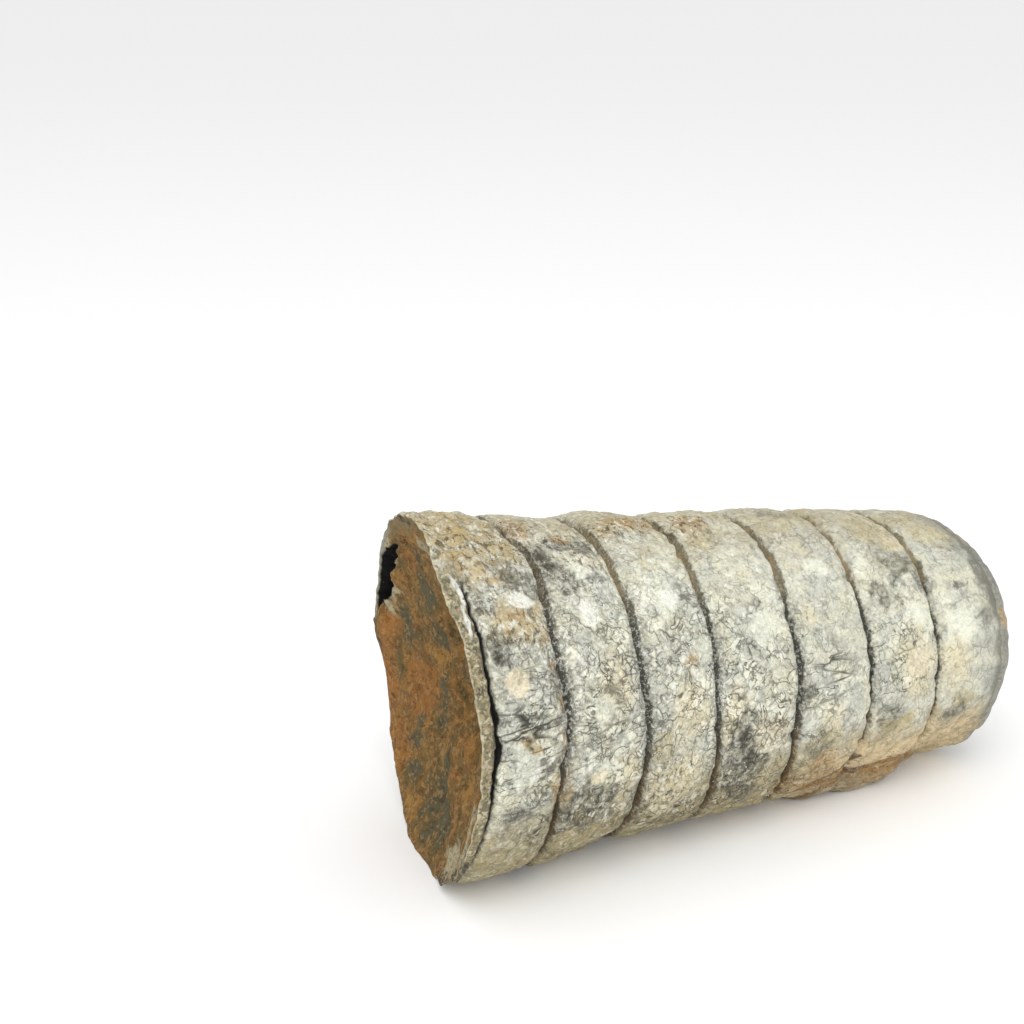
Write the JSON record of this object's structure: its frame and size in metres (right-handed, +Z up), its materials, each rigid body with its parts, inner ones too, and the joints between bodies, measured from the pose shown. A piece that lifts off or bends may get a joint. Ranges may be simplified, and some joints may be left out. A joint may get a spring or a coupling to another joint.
{
  "type": "orthocone nautiloid fossil",
  "caption": "Loose section of a straight-shelled nautiloid fossil: tapered stone with ringed grooves, a hollow broken wide end and a domed narrow end.",
  "frame": {"origin": "under the middle of the stone, on the surface it lies on", "axes": "+X from the wide broken end to the narrow domed end, +Z up"},
  "size_m": [0.1035, 0.0515, 0.051],
  "materials": {
    "stone": "weathered grey and cream calcite with fine cracks, dark grooves and rust-brown iron stain"
  },
  "bodies": {
    "root": {"fossil_stone": "stone"}
  },
  "joints": []
}
